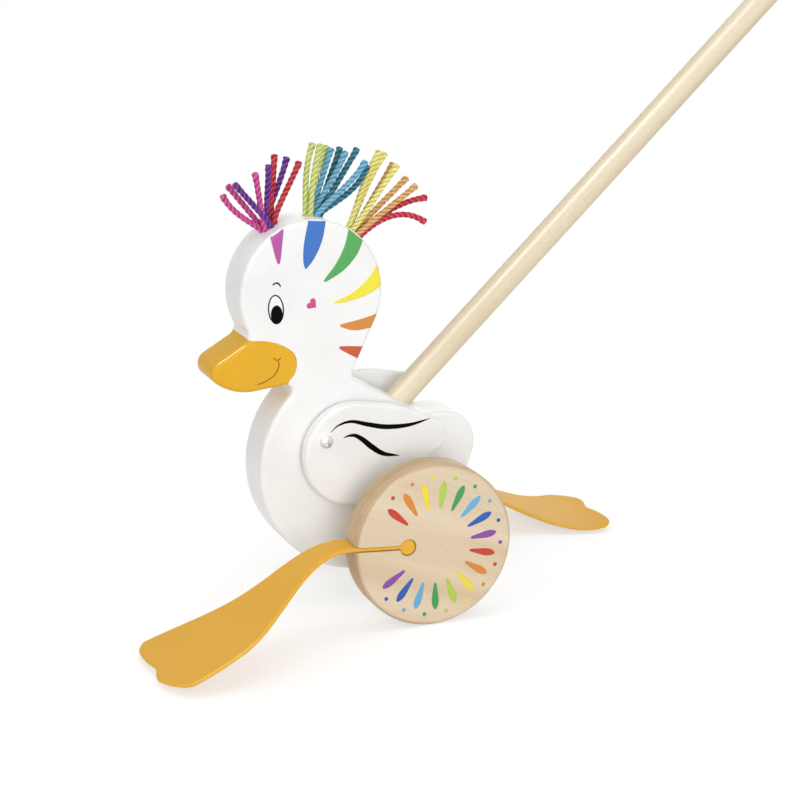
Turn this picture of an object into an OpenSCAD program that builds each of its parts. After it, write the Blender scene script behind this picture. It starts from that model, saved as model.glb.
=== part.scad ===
// Wooden push-along duck. A painted board body rides on two wooden wheels,
// and each wheel swings a soft paddle foot round with it. Two wings pivot on
// screws, yarn hair stands in three holes in the head, and a stick pushes it.
// +X is forward, +Y is the duck's left and +Z is up. The origin is on the
// floor, straight below the middle of the axle.

/* [Wheels and axle] */
// Radius of both wheels
wheel_r = 38; // [34:0.5:44]
// Thickness of each wheel
wheel_t = 15.5; // [13:0.5:19]
// Rounding of each wheel's two rims
wheel_edge_r = 1.5; // [1:0.25:3.5]
// Radius of the axle dowel
axle_r = 4; // [3:0.25:5]
// Depth of the blind axle hole in each wheel
axle_seat = 10; // [7:0.5:11.5]
// Radial running clearance of the axle in the body
axle_gap = 0.08; // [0.05:0.01:0.1]
// Outer radius of the spacer rings on the axle
spacer_r = 6.5; // [5.5:0.25:8]
// Gap between a spacer ring and the body's side
spacer_gap = 0.3; // [0.2:0.05:0.6]
// Turn of the wheel set, which lifts the front slot
wheel_turn = 4; // [0:1:8]

/* [Body board] */
// Thickness of the body board
body_t = 24; // [21:0.5:32]
// Rounding of the board's edges
body_edge_r = 2; // [1.5:0.25:4.5]
// Breast circle: centre ahead of the axle
breast_x = 17.8; // [15:0.2:21]
// Breast circle: centre above the axle
breast_z = 29.4; // [26:0.2:32]
// Radius of the breast and belly
breast_r = 51; // [48:0.2:54]
// Head circle: centre ahead of the breast's centre
head_x = 25.2; // [22:0.2:28]
// Head circle: centre above the breast's centre
head_z = 82.2; // [78:0.2:86]
// Radius of the head
head_r = 33.7; // [31:0.1:36]
// Tail circle: centre behind the breast's centre
tail_x = 39.3; // [36:0.1:42]
// Tail circle: centre above the breast's centre
tail_z = 5.1; // [2:0.1:8]
// Radius of the tail
tail_r = 15.7; // [13:0.1:18]
// Hollow of the nape behind the neck: ahead of the breast's centre
nape_x = 1.2; // [-1:0.2:3]
// Hollow of the nape behind the neck: above the breast's centre
nape_z = 43.7; // [41:0.1:46]
// Radius of the nape's hollow
nape_r = 4.6; // [3:0.1:6]
// Saddle before the tail: behind the breast's centre
saddle_x = 31.7; // [29:0.1:34]
// Saddle before the tail: above the breast's centre
saddle_z = 31.3; // [29:0.1:33]
// Radius of the saddle before the tail
saddle_r = 10.2; // [7:0.2:12]

/* [Beak] */
// Lower curve of the beak: centre ahead of the head's centre
beak_x = 29.9; // [27:0.1:32]
// Lower curve of the beak: centre below the head's centre
beak_z = 17.7; // [15:0.1:20]
// Radius of the beak's lower curve
beak_r = 25; // [23:0.2:27]
// Radius of the beak's tip
beak_tip_r = 5.9; // [5:0.1:7]
// Direction of the tip from the lower curve's centre
beak_tip_angle = -52; // [-58:1:-46]
// Radius of the hollow between forehead and beak
beak_root_r = 5; // [3:0.25:7]
// Direction of that hollow from the head's centre
beak_root_angle = -25; // [-29:1:-21]
// Radius of the hollow under the chin
chin_r = 3; // [2:0.25:4]
// Direction of the chin's hollow from the breast's centre
chin_angle = 45; // [42:1:48]

/* [Wings] */
// Thickness of each wing
wing_t = 7; // [5:0.5:9]
// Rounding of the wing's edges
wing_edge_r = 1.8; // [1:0.1:2.4]
// Radius of the wing's broad front
wing_front_r = 24.1; // [21:0.1:26]
// Radius of the wing's top curve
wing_top_r = 45.5; // [40:0.2:50]
// Centre of the top curve behind the front centre
wing_top_x = 10.2; // [6:0.2:14]
// Centre of the top curve below the front centre
wing_top_z = 23.3; // [19:0.1:27]
// Radius of the wing's rear end
wing_rear_r = 8.3; // [6:0.1:10]
// Length from the wing's front centre back to its rear centre
wing_reach = 37.2; // [33:0.2:41]
// Rise of the rear centre above the front centre
wing_rise = 4.7; // [2:0.1:7]
// Pivot screw: ahead of the breast's centre
pivot_x = 22.2; // [19:0.2:24]
// Pivot screw: above the breast's centre
pivot_z = 15.3; // [12:0.1:18]
// Front centre of the wing behind its pivot
pivot_back = 14; // [11:0.2:16]
// Front centre of the wing below its pivot
pivot_drop = 7.7; // [5:0.1:10]
// Lift of the right wing about its screw
wing_lift = 16; // [0:1:30]
// Thickness of the washer between wing and body
washer_t = 1; // [0.6:0.1:2]
// Outer radius of that washer
washer_r = 5; // [4:0.25:7]

/* [Wing screws] */
// Radius of the screw's shank
screw_r = 1.75; // [1.5:0.05:2.25]
// Radius of the screw's head
screw_head_r = 3; // [2.6:0.1:4]
// Height of the screw's head
screw_head_h = 1.8; // [1.4:0.1:2.4]
// Length of the screw inside the body
screw_grip = 8; // [5:0.5:9]
// Width of the cross recess in the head
recess_w = 0.8; // [0.5:0.1:1]
// Depth of the cross recess
recess_d = 0.9; // [0.5:0.1:1.1]
// Radial running clearance of the wing on its screw
wing_gap = 0.08; // [0.05:0.01:0.1]
// Clearance under the screw's head, and beside the washer
head_gap = 0.2; // [0.1:0.05:0.4]
// Space between the screw's head and the wheels
wheel_gap = 14.5; // [8:0.5:20]

/* [Push stick] */
// Radius of the stick
stick_r = 6; // [5:0.25:7]
// Whole length of the stick
stick_len = 500; // [350:10:700]
// Rounding of the stick's ends
stick_edge_r = 3; // [1:0.25:4]
// Length of the stick inside the body
stick_seat = 24; // [18:1:28]
// Point where the stick enters: behind the breast's centre
stick_x = 19.5; // [17:0.1:22]
// Point where the stick enters: above the breast's centre
stick_z = 25.1; // [22:0.1:27]
// Slope of the stick
stick_angle = 43.6; // [40:0.2:48]
// Radius of the stud that screws the stick in
stud_r = 2.5; // [2:0.1:3]
// Length of the stud inside the stick
stud_hold = 14; // [10:1:20]
// Length of the threaded insert in the body
insert_len = 11; // [8:0.5:13]
// Outer radius of the threaded insert
insert_r = 4; // [3.5:0.1:5]
// Radial clearance of glued and screwed fits
fit_gap = 0.05; // [0.02:0.01:0.08]

/* [Feet] */
// Thickness of the soft feet
foot_t = 1.8; // [1.4:0.1:2.4]
// Length of a foot from the wheel's rim to its toes
foot_len = 104; // [98:1:110]
// Length of a foot along its sides, before the toes round off
foot_side_len = 92; // [80:1:95]
// How much longer the foot's inner side is than the mean of its sides
toe_slant = 3; // [0:0.5:5]
// How far the toes spread outwards past the wheel
foot_out = 40.5; // [30:0.5:46]
// Length over which a foot spreads outwards
foot_out_len = 71; // [60:1:84]
// How far the inner edge bows outwards along the stem
foot_bow = 10.5; // [4:0.5:14]
// How far the toes spread inwards past the wheel
foot_in = 2.8; // [0:0.2:6]
// Depth of the notch between the two toes
notch_depth = 1; // [0.4:0.2:4]
// Place of the notch across the foot
notch_at = 0.5; // [0.35:0.01:0.65]
// How far the outer toe reaches past the plain round end
outer_toe = 3; // [0:0.5:4]
// Slope of the front foot at the wheel's rim
front_root_droop = -4; // [-10:1:6]
// Slope of the front foot half way along
front_droop = 27; // [20:1:30]
// Slope of the front foot at its toes
front_tip_droop = 14; // [4:1:18]
// Slope of the rear foot at the wheel's rim
rear_root_droop = 9; // [0:1:12]
// Slope of the rear foot half way along
rear_droop = 30; // [18:1:33]
// Slope of the rear foot at its toes
rear_tip_droop = -16; // [-24:1:-6]
// Distance of the keyhole from the axle
key_x = 13; // [11.5:0.25:16]
// Radius of the bead that holds a foot in its keyhole
bead_r = 3.7; // [3:0.1:4.2]
// Clearance of the bead and the foot in keyhole and slot
key_gap = 0.25; // [0.15:0.05:0.4]
// Gap between the wheel's rim and the part of the foot that flexes
flex_gap = 0.3; // [0.2:0.05:0.5]

/* [Yarn hair] */
// Diameter of one yarn strand
yarn_d = 2.8; // [2.2:0.1:3.2]
// Depth of the hair holes in the head
hair_hole = 12; // [8:1:16]
// Gap between neighbouring strands in a hole
yarn_gap = 0.2; // [0.15:0.05:0.4]
// Direction of the front tuft from the head's centre
hair_front = 61; // [57:1:65]
// Step from one tuft to the next
hair_step = 37; // [33:1:41]
// Spread of a tuft's strands to the two sides
hair_spread = 24; // [15:1:32]
// Length of the front tuft's strands outside the head
front_len = 30; // [24:1:42]
// Length of the middle tuft's strands outside the head
middle_len = 33; // [24:1:42]
// Length of the rear tuft's strands outside the head
rear_len = 38; // [24:1:44]
// Fan of the front tuft along the head
front_fan = 46; // [25:1:48]
// Fan of the middle tuft along the head
middle_fan = 34; // [25:1:48]
// Fan of the rear tuft along the head
rear_fan = 45; // [25:1:48]
// Backward lean of the front tuft
front_lean = 26; // [0:1:28]
// Backward lean of the middle tuft
middle_lean = 24; // [0:1:28]
// Backward lean of the rear tuft
rear_lean = 9; // [0:1:28]

/* [Hidden] */
$fn = 64;

// Small overlap with which a cutter passes a surface
cut = 0.5;
// Angle of one facet on the outlines
arc_step = 5;
// Rings of facets on a rounded edge
edge_rings = 4;

// Layers across the toy, from the middle plane outwards
body_y = body_t / 2;
wing_y = body_y + washer_t + head_gap;
wing_out = wing_y + wing_t;
screw_y = wing_out + head_gap;
wheel_y = screw_y + screw_head_h + wheel_gap;
foot_y = wheel_y + key_gap;

// Centres of the body's outline, in the XZ plane
axle = [0, wheel_r];
breast = axle + [breast_x, breast_z];
head = breast + [head_x, head_z];
tail = breast + [-tail_x, tail_z];
nape = breast + [nape_x, nape_z];
saddle = breast + [-saddle_x, saddle_z];
beak = head + [beak_x, -beak_z];
pivot = breast + [pivot_x, pivot_z];
stick_mouth = breast + [-stick_x, stick_z];

// Feet: root width, and the place of the flexing edge
foot_root_w = wheel_t - 2 * key_gap;
flex_r = wheel_r + flex_gap + foot_t / 2;

// Hair: strands stand in a ring round one middle strand
hair_ring = 7;
hair_ring_r = (yarn_d + yarn_gap) / (2 * sin(180 / hair_ring));
hair_hole_r = hair_ring_r + yarn_d / 2 + yarn_gap;
// Length, fan and lean of each tuft, front to rear
tufts = [
    [front_len, front_fan, front_lean],
    [middle_len, middle_fan, middle_lean],
    [rear_len, rear_fan, rear_lean]
];

// Plane outlines

function unit(a) = [cos(a), sin(a)];
function turn360(a) = a - 360 * floor(a / 360);

// Signed circle [x, z, r]: the outline goes round it outside, or inside where r is negative
function ring(c, r) = [c.x, c.y, r];

// Direction of the outward normal of the tangent line from circle p to circle q
function tangent(p, q) =
    let (d = [q.x - p.x, q.y - p.y])
    atan2(d.y, d.x) - acos(max(-1, min(1, (p.z - q.z) / norm(d))));

// Closed outline that runs round a chain of circles like a belt, as [x, z, normal angle, circle number]
function belt(c) =
    let (
        n = len(c),
        all = [
            for (i = [0:n - 1])
            let (
                from = tangent(c[(i + n - 1) % n], c[i]),
                to = tangent(c[i], c[(i + 1) % n]),
                sweep = c[i].z > 0 ? turn360(to - from) : -turn360(from - to),
                steps = max(1, ceil(abs(sweep) / arc_step))
            )
            for (k = [0:steps])
            let (a = from + sweep * k / steps, p = [c[i].x, c[i].y] + c[i].z * unit(a))
            [p.x, p.y, a, i]
        ],
        m = len(all)
    )
    [
        for (i = [0:m - 1])
        let (p = all[i], q = all[(i + 1) % m])
        if (norm([p.x - q.x, p.y - q.y]) > 0.02) p
    ];

chin = breast + (breast_r + chin_r) * unit(chin_angle);
body_outline = belt([
    ring(breast, breast_r),
    ring(chin, -chin_r),
    ring(beak, beak_r),
    ring(beak + (beak_r - beak_tip_r) * unit(beak_tip_angle), beak_tip_r),
    ring(head + (head_r + beak_root_r) * unit(beak_root_angle), -beak_root_r),
    ring(head, head_r),
    ring(nape, -nape_r),
    ring(saddle, -saddle_r),
    ring(tail, tail_r)
]);
// Hubs inside the body from which the flat faces fan out, the hub of each circle, the faces between hubs
body_hubs = [
    breast,
    chin + 3.3 * (chin_r + body_edge_r) * unit(chin_angle + 109),
    beak + beak_r / 2 * unit(beak_tip_angle - 25),
    head - [0, head_r / 3],
    nape + 1.6 * (nape_r + body_edge_r) * unit(-18)
];
body_hub_of = [0, 1, 2, 2, 3, 3, 4, 0, 0];
body_core = [[0, 1, 4], [1, 3, 4], [1, 2, 3]];

// Wing outline about its pivot: broad front, arched top and small rear end
wing_front = [-pivot_back, -pivot_drop];
wing_rear = wing_front + [-wing_reach, wing_rise];
wing_outline = belt([
    ring(wing_front, wing_front_r),
    ring(wing_front - [wing_top_x, wing_top_z], wing_top_r),
    ring(wing_rear, wing_rear_r)
]);

// Solids from outlines and grids

// Triangles of the side of a stack of closed rings, n points each
function stack_faces(rings, n) = [
    for (j = [0:rings - 2], i = [0:n - 1])
    let (a = j * n + i, b = j * n + (i + 1) % n)
    each [[a, b, a + n], [b, b + n, a + n]]
];

// Board with rounded edges, its thickness centred on y = 0. Each rim point of a flat face joins the hub
// of its circle, and the core lists the triangles between hubs
module rounded_board(outline, t, r, hubs, hub_of, core = []) {
    n = len(outline);
    half = [
        for (k = [0:edge_rings])
        let (a = 90 * k / edge_rings)
        [r * (1 - sin(a)), t / 2 - r * (1 - cos(a))]
    ];
    levels = concat(
        [for (h = half) [h[0], -h[1]]],
        [for (k = [0:edge_rings]) half[edge_rings - k]]
    );
    first_hub = len(levels) * n;
    points = concat(
        [for (l = levels, p = outline) [p.x - l[0] * cos(p.z), l[1], p.y - l[0] * sin(p.z)]],
        [for (y = [-t / 2, t / 2], h = hubs) [h.x, y, h.y]]
    );
    // Triangles of one flat face, from the numbers of its first rim point and its first hub
    function fan(rim, hub) = concat(
        [
            for (i = [0:n - 1])
            let (
                k = (i + 1) % n,
                a = hub + hub_of[outline[i][3]],
                b = hub + hub_of[outline[k][3]]
            )
            each [[rim + i, rim + k, b], if (a != b) [rim + i, b, a]]
        ],
        [for (f = core) [for (h = f) hub + h]]
    );
    faces = concat(
        stack_faces(len(levels), n),
        [for (f = fan(0, first_hub)) [f[0], f[2], f[1]]],
        fan(first_hub - n, first_hub + len(hubs))
    );
    polyhedron(points, faces, convexity = 6);
}

// Cylinder along +Y from y0 to y1, at a point of the XZ plane
module rod(p, r, y0, y1) {
    translate([p.x, y1, p.y])
        rotate([90, 0, 0])
            cylinder(r = r, h = y1 - y0);
}

// Solid of revolution about Z with rounded rims, from z = 0 to h
module turned(r, h, edge) {
    rotate_extrude() {
        square([r - edge, h]);
        translate([0, edge])
            square([r, h - 2 * edge]);
        translate([r - edge, edge])
            circle(edge);
        translate([r - edge, h - edge])
            circle(edge);
    }
}

// Frame of the stick: +Z out of the body along the stick, 0 where it enters
module along_stick() {
    translate([stick_mouth.x, 0, stick_mouth.y])
        rotate([0, stick_angle - 90, 0])
            children();
}

// Left part as drawn, or turned half round for the right
module on_side(side) {
    rotate([0, 0, side > 0 ? 0 : 180])
        children();
}

// Frame of a wing at its pivot, lifted about the screw
module at_pivot(side) {
    lift = side > 0 ? 0 : wing_lift;
    translate([pivot.x, 0, pivot.y])
        rotate([0, lift, 0])
            children();
}

// Body and stick

module body() {
    color("white")
        difference() {
            rounded_board(body_outline, body_t, body_edge_r, body_hubs, body_hub_of, body_core);
            rod(axle, axle_r + axle_gap, -body_y - cut, body_y + cut);
            for (side = [-1, 1])
                mirror([0, side < 0 ? 1 : 0, 0])
                    rod(pivot, screw_r + fit_gap, body_y - screw_grip - fit_gap, body_y + cut);
            along_stick() {
                translate([0, 0, -stick_seat])
                    cylinder(r = stick_r + fit_gap, h = stick_seat + stick_r * 4);
                translate([0, 0, -stick_seat - insert_len])
                    cylinder(r = insert_r + fit_gap, h = insert_len + cut);
            }
            for (i = [0:2])
                at_tuft(i)
                    translate([0, 0, -hair_hole])
                        cylinder(r = hair_hole_r, h = hair_hole + head_r / 2);
        }
}

module stick() {
    color("burlywood")
        along_stick()
            translate([0, 0, -stick_seat])
                difference() {
                    turned(stick_r, stick_len, stick_edge_r);
                    translate([0, 0, -cut])
                        cylinder(r = stud_r + fit_gap, h = stud_hold + fit_gap + cut);
                }
}

module stick_stud() {
    color("silver")
        along_stick()
            translate([0, 0, -stick_seat - insert_len + fit_gap])
                cylinder(r = stud_r, h = insert_len + stud_hold - fit_gap);
}

module stick_insert() {
    color("goldenrod")
        along_stick()
            translate([0, 0, -stick_seat - insert_len])
                difference() {
                    cylinder(r = insert_r, h = insert_len);
                    translate([0, 0, -cut])
                        cylinder(r = stud_r + fit_gap, h = insert_len + 2 * cut);
                }
}

// Wings and their screws

module wing(side) {
    color("white")
        at_pivot(side)
            translate([0, side * (wing_y + wing_t / 2), 0])
                difference() {
                    rounded_board(wing_outline, wing_t, wing_edge_r, [wing_front], [0, 0, 0]);
                    rod([0, 0], screw_r + wing_gap, -wing_t, wing_t);
                }
}

module wing_washer(side) {
    color("gainsboro")
        mirror([0, side < 0 ? 1 : 0, 0])
            difference() {
                rod(pivot, washer_r, body_y, body_y + washer_t);
                rod(pivot, screw_r + fit_gap, body_y - cut, body_y + washer_t + cut);
            }
}

module wing_screw(side) {
    color("silver")
        mirror([0, side < 0 ? 1 : 0, 0])
            difference() {
                union() {
                    rod(pivot, screw_r, body_y - screw_grip, screw_y + cut);
                    rod(pivot, screw_head_r, screw_y, screw_y + screw_head_h);
                }
                for (a = [0, 90])
                    translate([pivot.x, screw_y + screw_head_h, pivot.y])
                        rotate([0, a, 0])
                            cube([screw_head_r, 2 * recess_d, recess_w], center = true);
            }
}

// Wheel set

// Frame of the wheel set: turned about the axle, X along the front slot
module at_wheel(side) {
    translate([axle.x, 0, axle.y])
        rotate([0, -wheel_turn, 0])
            on_side(side)
                children();
}

module axle() {
    reach = wheel_y + axle_seat - fit_gap;
    color("burlywood")
        rod(axle, axle_r, -reach, reach);
}

module axle_spacer(side) {
    color("burlywood")
        at_wheel(side)
            difference() {
                rod([0, 0], spacer_r, body_y + spacer_gap, wheel_y);
                rod([0, 0], axle_r + fit_gap, body_y, wheel_y + cut);
            }
}

module wheel(side) {
    slot_h = foot_t + 2 * key_gap;
    color("wheat")
        at_wheel(side)
            difference() {
                translate([0, wheel_y + wheel_t, 0])
                    rotate([90, 0, 0])
                        turned(wheel_r, wheel_t, wheel_edge_r);
                rod([0, 0], axle_r + fit_gap, wheel_y - cut, wheel_y + axle_seat);
                rod([key_x, 0], bead_r + key_gap, wheel_y - cut, wheel_y + wheel_t + cut);
                translate([key_x, wheel_y - cut, -slot_h / 2])
                    cube([wheel_r, wheel_t + 2 * cut, slot_h]);
            }
}

// Feet

// Soft root of a foot: a bead in the keyhole and a neck in the slot
module foot_bead(side) {
    color("orange")
        at_wheel(side) {
            rod([key_x, 0], bead_r, foot_y, foot_y + foot_root_w);
            translate([key_x, foot_y, -foot_t / 2])
                cube([wheel_r - key_x, foot_root_w, foot_t]);
        }
}

// Slope of a foot below the level at a share t of its length
function foot_slope(side, t) =
    let (
        start = side > 0 ? front_root_droop : rear_root_droop,
        middle = side > 0 ? front_droop : rear_droop,
        tip = side > 0 ? front_tip_droop : rear_tip_droop
    )
    start * pow(1 - t, 2) + middle * 4 * t * (1 - t) + tip * pow(t, 2);

// Bent line of a foot as [length, reach, height], summed in short straight steps, a little past its length
foot_steps = 48;
foot_more = 4;
function foot_step(side, i) =
    let (a = foot_slope(side, (i + 0.5) / foot_steps))
    foot_len / foot_steps * [cos(a), -sin(a)];
function foot_line(side) = [
    for (i = 0, p = [0, 0]; i <= foot_steps + foot_more; p = p + foot_step(side, i), i = i + 1)
    [i * foot_len / foot_steps, p.x, p.y]
];

function smooth(t) = let (c = max(0, min(1, t))) c * c * (3 - 2 * c);

// Length of a foot at a share q of its width: rounded toes with a notch
toe_power = 3.5;
notch_w = 0.08;
outer_toe_at = 0.72;
outer_toe_w = 0.16;
function foot_toe(q) =
    foot_side_len + toe_slant * (1 - 2 * q)
    + (foot_len - foot_side_len) * pow(max(0, 1 - pow(abs(2 * q - 1), toe_power)), 1 / toe_power)
    + outer_toe * exp(-pow((q - outer_toe_at) / outer_toe_w, 2))
    - notch_depth * exp(-pow((q - notch_at) / notch_w, 2));

// Edges of a foot at a length s, towards the body and away from it
stem_share = 0.93;
function foot_inner(s) =
    foot_y
    + foot_bow * pow(sin(180 * min(1, s / (stem_share * foot_len))), 2)
    - foot_in * smooth(2 * s / foot_len - 1);
function foot_outer(s) = foot_y + foot_root_w + foot_out * smooth(s / foot_out_len);

// Soft paddle of a foot, from its round flexing edge at the rim to its toes
module foot(side) {
    rows = 16;
    columns = 20;
    round_steps = 4;
    line = foot_line(side);
    reach = [for (l = line) [l[0], l[1]]];
    height = [for (l = line) [l[0], l[2]]];
    // Point at a length s and a share q of the width, off the sheet's middle by e along and f across it
    function at(s, q, e, f) =
        let (a = foot_slope(side, s / foot_len))
        [
            lookup(s, reach) + foot_t / 2 * (e * cos(a) + f * sin(a)),
            (1 - q) * foot_inner(s) + q * foot_outer(s),
            lookup(s, height) + foot_t / 2 * (f * cos(a) - e * sin(a))
        ];
    // Closed section along the foot: top from toe to rim, round the flexing edge, underside back to the toe
    function section(q) = concat(
        [for (i = [0:rows]) at((1 - i / rows) * foot_toe(q), q, 0, 1)],
        [for (k = [1:round_steps - 1]) let (a = 90 + 180 * k / round_steps) at(0, q, cos(a), sin(a))],
        [for (i = [0:rows]) at(i / rows * foot_toe(q), q, 0, -1)]
    );
    points = [for (j = [0:columns]) each section(j / columns)];
    n = len(points) / (columns + 1);
    side_strip = [
        for (i = [0:floor(n / 2) - 1])
        let (k = n - 1 - i)
        each [if (i + 1 < k) [i, k, i + 1], if (i + 1 < k - 1) [i + 1, k, k - 1]]
    ];
    last = columns * n;
    faces = concat(
        stack_faces(columns + 1, n),
        side_strip,
        [for (f = side_strip) [last + f[0], last + f[2], last + f[1]]]
    );
    root = axle + side * flex_r * unit(wheel_turn);
    color("orange")
        translate([root.x, 0, root.y])
            on_side(side)
                polyhedron(points, faces, convexity = 4);
}

// Yarn hair

// Frame of a tuft's hole: +Z out of the head, +X towards the face
module at_tuft(i) {
    a = hair_front + i * hair_step;
    p = head + head_r * unit(a);
    translate([p.x, 0, p.y])
        rotate([0, 90 - a, 0])
            children();
}

// One strand: straight in its hole, then bent outwards on a circle arc
module strand(k, length, fan, lean) {
    sides = 6;
    bends = 5;
    middle = k == hair_ring;
    around = 360 * k / hair_ring;
    place = middle ? [0, 0] : hair_ring_r * unit(around);
    tilt = [
        -lean + (middle ? 0 : fan * cos(around)),
        middle ? 0 : hair_spread * sin(around)
    ];
    bend = max(1, norm(tilt));
    heading = tilt / bend;
    // Point, and then direction, at a share t of the bent length
    r = length / (bend * PI / 180);
    function centre(t) =
        let (out = r * (1 - cos(bend * t)), up = r * sin(bend * t))
        [place.x + heading.x * out, place.y + heading.y * out, up];
    function section(c, a) =
        let (
            across = [-heading.y, heading.x, 0],
            along = [heading.x * cos(a), heading.y * cos(a), -sin(a)]
        )
        [
            for (j = [0:sides - 1])
            let (b = 360 * j / sides)
            c + yarn_d / 2 * (along * cos(b) + across * sin(b))
        ];
    rings = concat(
        [section([place.x, place.y, yarn_gap - hair_hole], 0)],
        [for (i = [0:bends]) section(centre(i / bends), bend * i / bends)]
    );
    points = [for (s = rings) each s];
    last = len(points) - 1;
    caps = [
        [for (j = [0:sides - 1]) j],
        [for (j = [0:sides - 1]) last - j]
    ];
    side_faces = [for (f = stack_faces(len(rings), sides)) [f[0], f[2], f[1]]];
    polyhedron(points, concat(side_faces, caps));
}

// Strands of one colour in a tuft: 0 the front ones, 1 the middle ones, 2 the rear ones
hair_groups = [[0, 1, 6], [2, 5, 7], [3, 4]];
module hair(i, group, tint) {
    color(tint)
        at_tuft(i)
            for (k = hair_groups[group])
                strand(k, tufts[i][0], tufts[i][1], tufts[i][2]);
}

body();
wing(1);  // wing_left
wing(-1);  // wing_right
wing_washer(1);  // wing_washer_left
wing_washer(-1);  // wing_washer_right
wing_screw(1);  // wing_screw_left
wing_screw(-1);  // wing_screw_right
stick();
stick_stud();
stick_insert();
axle();
axle_spacer(1);  // axle_spacer_left
axle_spacer(-1);  // axle_spacer_right
wheel(1);  // wheel_left
wheel(-1);  // wheel_right
foot_bead(1);  // foot_left_bead
foot_bead(-1);  // foot_right_bead
foot(1);  // foot_left
foot(-1);  // foot_right
hair(0, 0, "hotpink");  // hair_front_pink
hair(0, 1, "indigo");  // hair_front_purple
hair(0, 2, "crimson");  // hair_front_red
hair(1, 0, "yellowgreen");  // hair_middle_lime
hair(1, 1, "deepskyblue");  // hair_middle_blue
hair(1, 2, "teal");  // hair_middle_teal
hair(2, 0, "khaki");  // hair_rear_yellow
hair(2, 1, "orange");  // hair_rear_orange
hair(2, 2, "crimson");  // hair_rear_red
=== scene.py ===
import bmesh
import bpy
import numpy as np
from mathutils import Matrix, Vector


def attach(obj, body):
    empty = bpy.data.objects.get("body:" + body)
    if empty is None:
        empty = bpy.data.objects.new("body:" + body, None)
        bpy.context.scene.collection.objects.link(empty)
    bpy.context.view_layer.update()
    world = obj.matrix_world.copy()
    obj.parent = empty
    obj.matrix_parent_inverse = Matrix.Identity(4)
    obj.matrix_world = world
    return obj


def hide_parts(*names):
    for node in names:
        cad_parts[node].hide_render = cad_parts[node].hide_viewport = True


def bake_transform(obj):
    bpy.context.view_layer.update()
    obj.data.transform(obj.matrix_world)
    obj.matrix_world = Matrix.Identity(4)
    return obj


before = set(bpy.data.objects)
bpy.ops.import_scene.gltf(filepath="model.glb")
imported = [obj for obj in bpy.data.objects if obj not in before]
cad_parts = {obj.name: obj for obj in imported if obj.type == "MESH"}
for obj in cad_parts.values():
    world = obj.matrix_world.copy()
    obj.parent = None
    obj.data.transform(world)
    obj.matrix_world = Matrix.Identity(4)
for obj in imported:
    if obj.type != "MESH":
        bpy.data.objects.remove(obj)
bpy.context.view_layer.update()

# View of the photograph.
# The camera stands ahead of the duck on its left side, a little above its head,
# about a metre away. The duck's sizes are in millimetres and become metres in the mesh.
mm = 0.001
eye_point = Vector((353.4, 887.9, 356.3)) * mm
aim_point = Vector((1.64, 14.0, 96.77)) * mm
view = bpy.data.cameras.new("photo_view")
view.sensor_width = 36.0
view.lens = 95.65
view.clip_start = 0.05
camera = bpy.data.objects.new("photo_view", view)
camera.location = eye_point
camera.rotation_euler = (aim_point - eye_point).to_track_quat("-Z", "Y").to_euler()
bpy.context.scene.collection.objects.link(camera)
bpy.context.scene.camera = camera

# Body board.
# One thick wooden board is sawn as a duck with head, beak and tail, its edges are
# rounded over, and it is sprayed with several coats of white satin paint.


def polar(degrees):
    """Unit vector at an angle in the XZ plane."""
    return np.stack([np.cos(np.radians(degrees)), np.sin(np.radians(degrees))], -1)


board_half, board_edge = 12.0, 2.0
arc_step, flat_ring = 1.5, 0.4
axle_at = np.array([0.0, 38.0])
breast_at, breast_r = axle_at + [17.8, 29.4], 51.0
head_at, head_r = breast_at + [25.2, 82.2], 33.7
beak_at, beak_r, beak_tip_r = head_at + [29.9, -17.7], 25.0, 5.9
beak_tip_at = beak_at + (beak_r - beak_tip_r) * polar(-52)
chin_r, root_r = 3.0, 5.0
chin_at = breast_at + (breast_r + chin_r) * polar(45)
root_at = head_at + (head_r + root_r) * polar(-25)
nape_at, nape_r = breast_at + [1.2, 43.7], 4.6
saddle_at, saddle_r = breast_at + [-31.7, 31.3], 10.2
tail_at, tail_r = breast_at + [-39.3, 5.1], 15.7


def belt(circles, step):
    """Outline that runs round signed circles (x, z, r) like a belt: arcs joined by common tangents.
    Rows are x, z and the angle of the outward normal; a negative r is a hollow."""
    c = np.array(circles, float)
    ahead = np.roll(c, -1, axis=0) - c
    ratio = (c[:, 2] - np.roll(c[:, 2], -1)) / np.hypot(ahead[:, 0], ahead[:, 1])
    leave = np.degrees(np.arctan2(ahead[:, 1], ahead[:, 0]) - np.arccos(np.clip(ratio, -1, 1)))
    enter = np.roll(leave, 1)
    sweep = np.where(c[:, 2] > 0, (leave - enter) % 360, -((enter - leave) % 360))
    counts = np.maximum(2, np.ceil(np.abs(sweep) / step).astype(int) + 1)
    angle = np.concatenate([a + s * np.linspace(0, 1, n) for a, s, n in zip(enter, sweep, counts)])
    row = np.repeat(c, counts, axis=0)
    points = np.c_[row[:, :2] + row[:, 2:] * polar(angle), np.degrees(np.unwrap(np.radians(angle)))]
    far = np.hypot(*(points - np.roll(points, -1, axis=0))[:, :2].T) > 0.02
    return points[far]


def grid_faces(rows, columns, round_rows=False, round_columns=False):
    """Quads of a grid of points, joined end to end in either direction where it is round."""
    row, column = np.arange(rows - (not round_rows)), np.arange(columns - (not round_columns))
    i, j = np.meshgrid(row, column, indexing="ij")
    a, b = i * columns + j, i * columns + (j + 1) % columns
    c, d = (i + 1) % rows * columns + (j + 1) % columns, (i + 1) % rows * columns + j
    return np.stack([a, b, c, d], -1).reshape(-1, 4).tolist()


def ring_shell(rings):
    """Faces of a stack of closed rings that run anticlockwise, seen along +Y, with both ends filled."""
    count, n = rings.shape[:2]
    ends = [np.arange(n).tolist(), (np.arange(n)[::-1] + (count - 1) * n).tolist()]
    return [f[::-1] for f in grid_faces(count, n, round_columns=True)] + ends


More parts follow.
